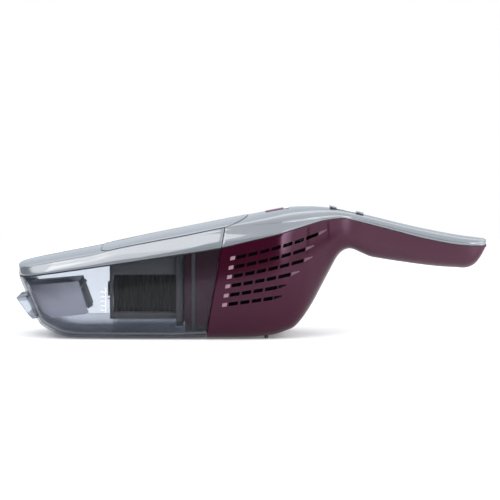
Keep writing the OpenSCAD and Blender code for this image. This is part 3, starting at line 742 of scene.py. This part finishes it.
def turned(obj, x, z, angle):
    """Turns a piece about a line across the object, and moves it there."""
    obj.data.transform(Matrix.Translation((x * MM, 0, z * MM)) @ Matrix.Rotation(angle, 4, "Y"))
    return obj


holes = [block("button_hole", *BUTTON_HOLE), block("lamp_hole", *LAMP_HOLE),
         turned(block("switch_hole", *SWITCH_HOLE), SWITCH_X, crown(SWITCH_X), SWITCH_SLOPE)]
cut(top_shell, holes)
discard(*holes)


# ---------------------------------------------------------------- seam under the covers: dark strips that are painted shadow in the gaps
# How far inside the shell the strip lies, how far it laps behind each edge, and its thickness
SEAM_INSET, SEAM_LAP, SEAM_THICKNESS = 0.75, 0.6, 1.1


def seam_point(x, v):
    """(y, z) of the recessed dark strip that fills the gap under the covers, painted shadow in the gap."""
    low, high, wide, part, crease = levels(x)
    return (1 - LEAN_IN) * wide - SEAM_INSET + 0 * v, part - SEAM_LAP + (PARTING_GAP + 2 * SEAM_LAP) * v


def seam(name, stations, slant):
    """Dark strip along the parting line, painted shadow in the gap, one on each side."""
    grid = surface(seam_point, stations, np.linspace(0, 1, 4), slant)
    parts = []
    for front in (grid, mirrored(grid)):
        back = front.copy()
        back[..., 1] -= np.sign(front[..., 1]) * SEAM_THICKNESS
        parts.append(slab(name, front, back))
    return join(name, parts)


cup_seam = seam("cup_cover_gap_shadow", CUP_STATIONS[6:], cup_slant)
body_seam = seam("housing_cover_gap_shadow", BODY_STATIONS[:-8], body_slant)


# ---------------------------------------------------------------- liner in the floor and front of the cup: painted shading of the cup's rounded lower edge
# Height of the liner's rim over the underside, where it starts, and its gap to the cup and thickness
LINER_RIM, LINER_START, LINER_GAP, LINER_WALL = 12.5, -206, 0.25, 1.3


def liner_point(x, v):
    """(y, z) of the liner inside the cup, a second film that darkens the rounded lower edge as painted
    shading, from the middle of the floor to its rim.
    """
    low, high, wide, part, crease = levels(x)
    edge = np.minimum(low + LINER_RIM, part - 2)
    steps = np.linspace(0, 1, 120)
    y, z = np.zeros(x.shape), np.zeros(x.shape)
    for i in range(len(x)):
        ys, zs = lower_point(x[i, 0], steps)
        top = np.interp(edge[i, 0], zs, steps)
        y[i], z[i] = np.interp(v[i] * top, steps, ys), np.interp(v[i] * top, steps, zs)
    return y, z


liner_stations = CUP_STATIONS[CUP_STATIONS > LINER_START]
liner_grid = whole(surface(liner_point, liner_stations, np.linspace(0, 1, 22), lambda s: 0 * s))
liner_grid -= normals(liner_grid) * (WALL + LINER_GAP)
cup_floor = shell("dust_cup_shade_liner", liner_grid, LINER_WALL, soft=[(1, True), (1, False)], radius=0.4)


# ---------------------------------------------------------------- finished forms of plain CAD pieces
body_of = {n: body for body, nodes in frame["record"]["behaviour"]["bodies"].items() for n in nodes}


def finished(node, width, key, edge_key=None):
    """A finer form of a plain piece: its flat faces joined, its edges rounded, in a material of their own
    where edge_key names one."""
    source = frame["nodes"][node]
    bm = bmesh.new()
    bm.from_mesh(source.data)
    bm.transform(source.matrix_world)
    bmesh.ops.remove_doubles(bm, verts=bm.verts, dist=2e-6)
    bmesh.ops.dissolve_limit(bm, angle_limit=math.radians(1.5), verts=bm.verts, edges=bm.edges)
    mesh = bpy.data.meshes.new(node)
    bm.to_mesh(mesh)
    bm.free()
    obj = placed(node + "_form", mesh)
    finish_mesh(obj)
    dress(obj, key, body_of[node])
    if edge_key:
        obj.data.materials.append(MATERIALS[edge_key])
    if width:
        bevel(obj, width, angle=35, edge_slot=1 if edge_key else -1)
    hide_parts(node)
    return obj


def tube(name, points, radius, closed=False):
    """Round tube along points in mm."""
    path = bpy.data.curves.new(name, "CURVE")
    path.dimensions, path.bevel_depth, path.bevel_resolution = "3D", radius * MM, 2
    path.use_fill_caps = not closed
    spline = path.splines.new("POLY")
    spline.points.add(len(points) - 1)
    for p, co in zip(spline.points, points):
        p.co = (*[c * MM for c in co], 1)
    spline.use_cyclic_u = closed
    line = placed(name, path)
    mesh = bpy.data.meshes.new_from_object(line.evaluated_get(bpy.context.evaluated_depsgraph_get()))
    discard(line)
    obj = placed(name, mesh)
    finish_mesh(obj, 60)
    return obj


# ---------------------------------------------------------------- bodies and slots
# Each new shell's material and body, and the CAD nodes it takes the place of
for obj, key, body, nodes in (
        (cup_shell, "smoky_clear", "cup", ["cup_shell"]),
        (cover_shell, "silver_trim", "cup", ["cup_cover"]),
        (panel, "silver_trim", "cup", ["top_panel"]),
        (housing_left, "housing", "body", ["housing_left"]),
        (housing_right, "housing", "body", ["housing_right"]),
        (top_shell, "silver_trim", "body", ["top_cover"])):
    dress(obj, key, body)
    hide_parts(*nodes)

for obj, key, body in (
        # Vent row ends: painted highlight, and painted shade on the low tails.
        (vent_start_highlights, "vent_start", "body"),
        (vent_tail_highlights_and_shade, "vent_tail", "body"),
        # Dark strips in the parting gaps: painted shadow.
        (cup_seam, "dark_plastic", "cup"),
        (body_seam, "dark_plastic", "body"),
        # The cup's liner: painted shading of its rounded lower edge.
        (cup_floor, "cup_floor", "cup")):
    dress(obj, key, body)

# Edge radius and material of each plain piece that gets a finer form, by node
FINISHES = {
    "filter_frame": (0.8, "grey_plastic"), "filter_flange": (0.8, "grey_plastic"),
    "filter_pleats": (0.3, "pleat"), "filter_seal": (0.4, "rubber"),
    "filter_pull_tab": (0.3, "grey_plastic"), "flap_valve": (0.4, "flap"), "flap_pin": (0.25, "steel"),
    "crevice_nozzle": (0.5, "clear"), "inlet_duct": (0.0, "duct_clear"),
    "release_button": (0.4, "button"), "power_slider": (0.25, "silver_trim"),
    "switch_bezel": (0.4, "dark_plastic"), "switch_base": (0.4, "grey_plastic"),
    "indicator_light": (0.25, "white"), "housing_screws": (0.2, "steel"),
    "charge_pins": (0.25, "contact"), "contact_block": (0.3, "dark_plastic"),
    "motor_can": (0.8, "steel"), "motor_end_cap": (0.6, "dark_plastic"), "motor_mount": (0.6, "rubber"),
    "fan_housing": (0.6, "grey_plastic"), "battery_tray": (0.5, "dark_plastic"),
    "battery_cells": (0.5, "wrap"), "battery_tabs": (0.1, "steel"), "charge_board": (0.15, "board"),
    "board_parts": (0.2, "dark_plastic"), "inlet_grille": (0.4, "dark_plastic"),
    "cup_rails": (0.4, "cup_floor"), "rubber_feet": (0.3, "rubber"), "motor_shaft": (0.3, "steel"),
    "fan_nut": (0.2, "steel"), "fan_impeller": (0.2, "grey_plastic"), "bulkhead": (0.3, "housing"),
    "cup_seal": (0.2, "rubber"), "armature": (0.2, "copper"), "exhaust_foam": (0.0, "foam"),
}
# The nozzle's rounded edges take the darker film: painted edge shading.
EDGE_KEYS = {"crevice_nozzle": "clear_edge"}
forms = {node: finished(node, width, key, EDGE_KEYS.get(node))
         for node, (width, key) in FINISHES.items()}


def accent(obj, key, chosen):
    """Gives the faces that chosen(centre in mm) picks another material."""
    obj.data.materials.append(MATERIALS[key])
    last = len(obj.data.materials) - 1
    for face in obj.data.polygons:
        if chosen(face.center / MM):
            face.material_index = last


# Painted highlight on the middle of the slider and on the rear of the button's top, and painted shade on the
# tails of the low vent rows
SLIDER_HIGHLIGHT, BUTTON_HIGHLIGHT_X, BUTTON_HIGHLIGHT_Z, PAINTED_SHADE_TAILS = 9.6, 29, 105, 50
along_switch = Vector((math.cos(SWITCH_SLOPE), 0, -math.sin(SWITCH_SLOPE)))
switch_middle = Vector((SWITCH_X, 0, crown(SWITCH_X)))
accent(forms["power_slider"], "white", lambda c: abs((c - switch_middle).dot(along_switch)) < SLIDER_HIGHLIGHT)
accent(forms["release_button"], "white", lambda c: c.x > BUTTON_HIGHLIGHT_X and c.z > BUTTON_HIGHLIGHT_Z)
# The low vent tails take the near-black foam colour as painted shade.
accent(vent_tail_highlights_and_shade, "foam", lambda c: c.z < PAINTED_SHADE_TAILS)

# Coil spring under the release button
SPRING_X, SPRING_LOW, SPRING_HIGH, SPRING_R, WIRE_R = 24.0, 88.6, 95.0, 3.0, 0.45
TURNS, TURN_STEPS = 4, 24
coil = []
for step in range(TURNS * TURN_STEPS + 1):
    share = step / (TURNS * TURN_STEPS)
    angle = 2 * math.pi * TURNS * share
    coil.append((SPRING_X + SPRING_R * math.cos(angle), SPRING_R * math.sin(angle),
                 SPRING_LOW + (SPRING_HIGH - SPRING_LOW) * share))
spring = tube("release_coil", coil, WIRE_R)
dress(spring, "steel", "body")
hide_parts("release_spring")
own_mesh(spring)

# Dark tube round the panel's foot: painted shadow where it meets the covers.
panel_seam = tube("panel_foot_shadow_line", panel_rim(), RIM_RADIUS, closed=True)
dress(panel_seam, "dark_plastic", "cup")

# Carried-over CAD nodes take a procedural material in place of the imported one.
for name, obj in frame["nodes"].items():
    obj.data.materials.clear()
    obj.data.materials.append(MATERIALS[slot_of[name]])


# ---------------------------------------------------------------- floor, light and camera
def stage_plane(name, size, location, colour, glow):
    mesh = bpy.data.meshes.new(name)
    bm = bmesh.new()
    bmesh.ops.create_grid(bm, x_segments=8, y_segments=8, size=size / 2)
    bm.to_mesh(mesh)
    bm.free()
    obj = placed(name, mesh)
    obj.location = location
    m = new_material(name)
    set_inputs(m.node_tree, m.node_tree.nodes["Principled BSDF"], {
        "Base Color": (*colour, 1), "Roughness": 0.9, "Specular IOR Level": 0.0,
        "Emission Color": (*colour, 1), "Emission Strength": glow})
    mesh.materials.append(m)


def softbox(name, size_x, size_y, location, target, radiance):
    """Lit rectangle that faces the target."""
    light = bpy.data.lights.new(name, "AREA")
    light.shape, light.size, light.size_y = "RECTANGLE", size_x, size_y
    light.energy = radiance * math.pi * size_x * size_y
    obj = placed(name, light)
    obj.location = location
    obj.rotation_euler = (Vector(target) - Vector(location)).to_track_quat("-Z", "Y").to_euler()
    return obj


LIGHT_TARGET = Vector((0, 0, 0.05))


def aimed_softbox(name, azimuth, elevation, distance, size_x, size_y, radiance):
    """Softbox seen from the object at an azimuth from -Y towards +X, and an elevation, in degrees."""
    a, e = math.radians(azimuth), math.radians(elevation)
    away = Vector((math.sin(a) * math.cos(e), -math.cos(a) * math.cos(e), math.sin(e))) * distance
    return softbox(name, size_x, size_y, away + LIGHT_TARGET, LIGHT_TARGET, radiance)


stage_plane("floor", 3.0, (0, -0.3, -0.0003), (0.95, 0.95, 0.95), 0.12)
softbox("top_light", 5.0, 4.4, (0, 0.1, 1.7), (0, 0, 0), 1.05)
aimed_softbox("left_light", -27, 40, 1.5, 0.55, 0.7, 3.1)
aimed_softbox("far_left_light", -68, 36, 1.5, 1.7, 0.6, 2.4)
aimed_softbox("right_light", 50, 22, 1.4, 1.06, 1.15, 2.4)
aimed_softbox("side_light", 93, 22, 1.4, 1.1, 1.15, 2.0)
for step in range(3):
    aimed_softbox("right_key", 31.2 + 5.4 * step, 12, 1.38, 0.13, 0.5, 8.0 - 2.6 * step)
back = aimed_softbox("back_light", 180, 24, 1.9, 4.0, 1.6, 0.72)
back.visible_camera = False
back.data.color = (0.82, 0.91, 1.0)

# The camera sees a white world, which lights the object only dimly
world = bpy.data.worlds.new("studio")
world.use_nodes = True
tree = world.node_tree
dim = tree.nodes["Background"]
set_inputs(tree, dim, {"Color": (0.85, 0.9, 1.0, 1), "Strength": 0.06})
pale = add_node(tree, "Background", {"Color": (1, 1, 1, 1), "Strength": 1.0})
seen = add_node(tree, "LightPath", {}).outputs["Is Camera Ray"]
chosen = mix_shaders(tree, seen, dim.outputs["Background"], pale.outputs["Background"])
set_inputs(tree, tree.nodes["World Output"], {"Surface": chosen})
scene = bpy.context.scene
scene.world = world
scene.view_settings.view_transform = "Standard"
scene.cycles.transparent_max_bounces = 32
scene.cycles.max_bounces = 14

DISTANCE, ELEVATION, FRAME_WIDTH, SENSOR = 2.2, math.radians(4.2), 0.450, 36
AIM = Vector((-0.0007, 0.0, 0.0754))
camera_data = bpy.data.cameras.new("camera")
camera_data.sensor_width = SENSOR
camera_data.lens = SENSOR * DISTANCE / FRAME_WIDTH
camera = placed("camera", camera_data)
camera.location = AIM + Vector((0, -math.cos(ELEVATION), math.sin(ELEVATION))) * DISTANCE
camera.rotation_euler = (AIM - camera.location).to_track_quat("-Z", "Y").to_euler()
scene.camera = camera
